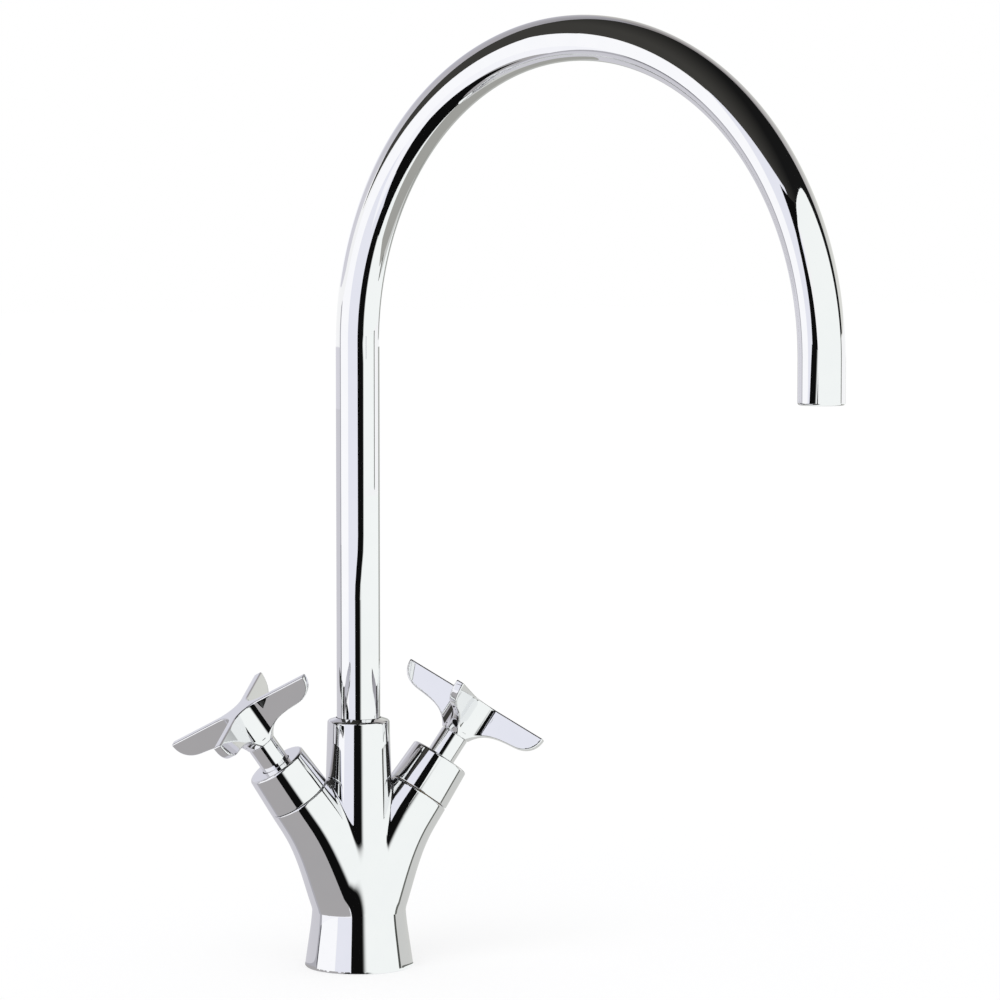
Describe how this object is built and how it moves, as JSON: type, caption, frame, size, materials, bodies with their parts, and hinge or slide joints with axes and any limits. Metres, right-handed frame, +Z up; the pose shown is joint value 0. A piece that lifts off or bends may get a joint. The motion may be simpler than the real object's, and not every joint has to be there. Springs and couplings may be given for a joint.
{
  "type": "two handle kitchen faucet",
  "caption": "Chromed kitchen mixer tap with a tall swan-neck spout that swivels on a Y-shaped body, and a four-wing cross handle on each tilted arm.",
  "frame": {"origin": "centre of the foot's underside, on the deck", "axes": "+Z up along the column and the spout's swivel axis, the two arms along X with the hot side at -X, the front of the tap at -Y"},
  "size_m": [0.2211, 0.2816, 0.434],
  "materials": {
    "polished_chrome": "mirror-polished chrome plate",
    "brass": "machined, bare",
    "steel": "turned stainless steel",
    "rubber": "moulded, matt black",
    "ceramic": "lapped white ceramic",
    "acetal": "moulded natural acetal"
  },
  "bodies": {
    "base": {"mixer_body": "polished_chrome", "foot_gasket": "rubber", "spout_keeper_screw": "steel", "hot_bonnet_cover": "polished_chrome", "hot_valve_housing": "brass", "hot_valve_oring": "rubber", "hot_seat_seal": "rubber", "hot_fixed_disc": "ceramic", "cold_bonnet_cover": "polished_chrome", "cold_valve_housing": "brass", "cold_valve_oring": "rubber", "cold_seat_seal": "rubber", "cold_fixed_disc": "ceramic"},
    "spout": {"spout_tube": "polished_chrome", "spout_spigot": "brass", "spout_oring_lower": "rubber", "spout_oring_upper": "rubber", "spout_glide_ring": "acetal", "aerator_housing": "steel", "aerator_insert": "acetal", "aerator_seal": "rubber"},
    "hot_valve": {"hot_moving_disc": "ceramic", "hot_spindle": "brass", "hot_stem_sleeve": "polished_chrome", "hot_handle": "polished_chrome", "hot_handle_screw": "steel"},
    "cold_valve": {"cold_moving_disc": "ceramic", "cold_spindle": "brass", "cold_stem_sleeve": "polished_chrome", "cold_handle": "polished_chrome", "cold_handle_screw": "steel"}
  },
  "joints": [
    {"name": "spout_swivel", "type": "hinge", "parent": "base", "child": "spout", "pos_m": [0, 0, 0.1], "axis": [0, 0, 1], "continuous": true},
    {"name": "hot_turn", "type": "hinge", "parent": "base", "child": "hot_valve", "pos_m": [0, 0, 0.0382], "axis": [-0.5693, 0, 0.8221], "range_deg": [0, 90]},
    {"name": "cold_turn", "type": "hinge", "parent": "base", "child": "cold_valve", "pos_m": [0, 0, 0.0382], "axis": [0.5693, 0, 0.8221], "range_deg": [-90, 0]}
  ]
}
